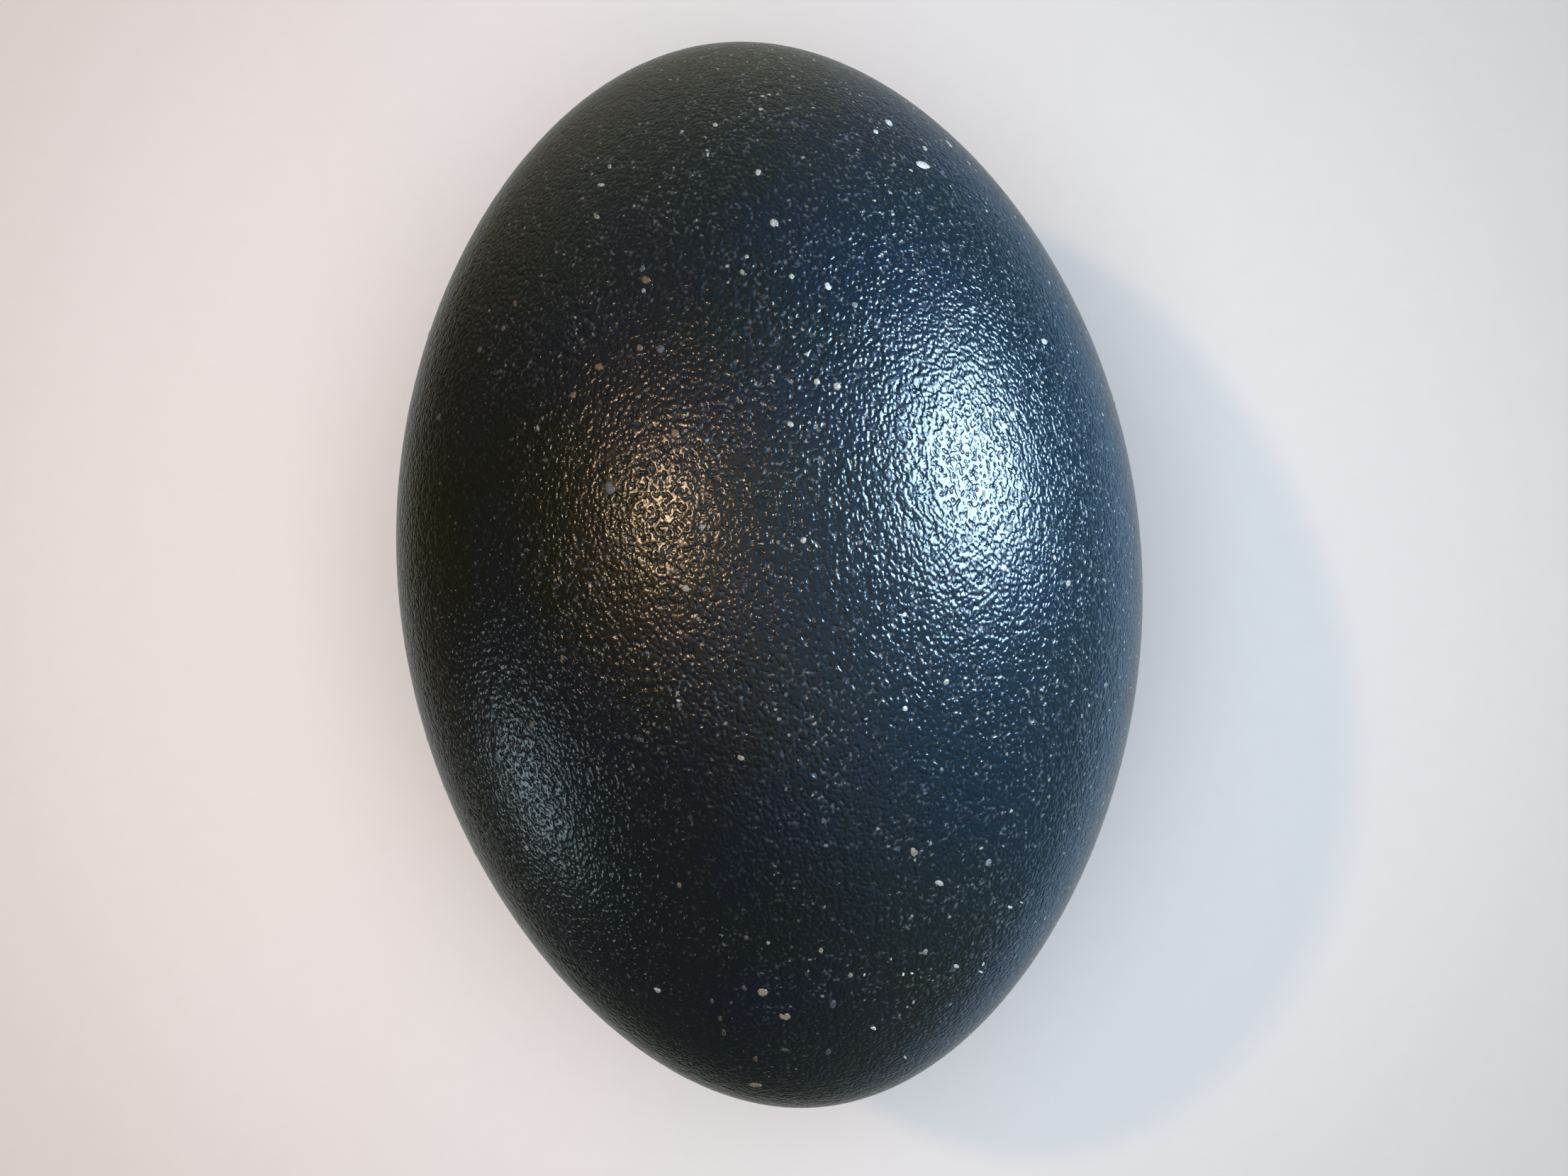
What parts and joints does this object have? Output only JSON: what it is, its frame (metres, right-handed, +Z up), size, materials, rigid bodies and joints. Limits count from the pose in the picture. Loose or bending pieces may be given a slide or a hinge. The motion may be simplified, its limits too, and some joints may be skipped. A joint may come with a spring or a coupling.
{
  "type": "emu egg",
  "caption": "Whole emu egg with a dark, finely pebbled glossy shell, lying on its side on a small flat spot.",
  "frame": {"origin": "on the surface that the egg rests on, below the middle of its length", "axes": "+Z up, +Y along the egg's length towards its slightly fuller end, +X across"},
  "size_m": [0.091, 0.131, 0.0905],
  "materials": {
    "shell": "fine glossy grain on a green-black shell with small pale specks"
  },
  "bodies": {
    "root": {"egg": "shell"}
  },
  "joints": []
}
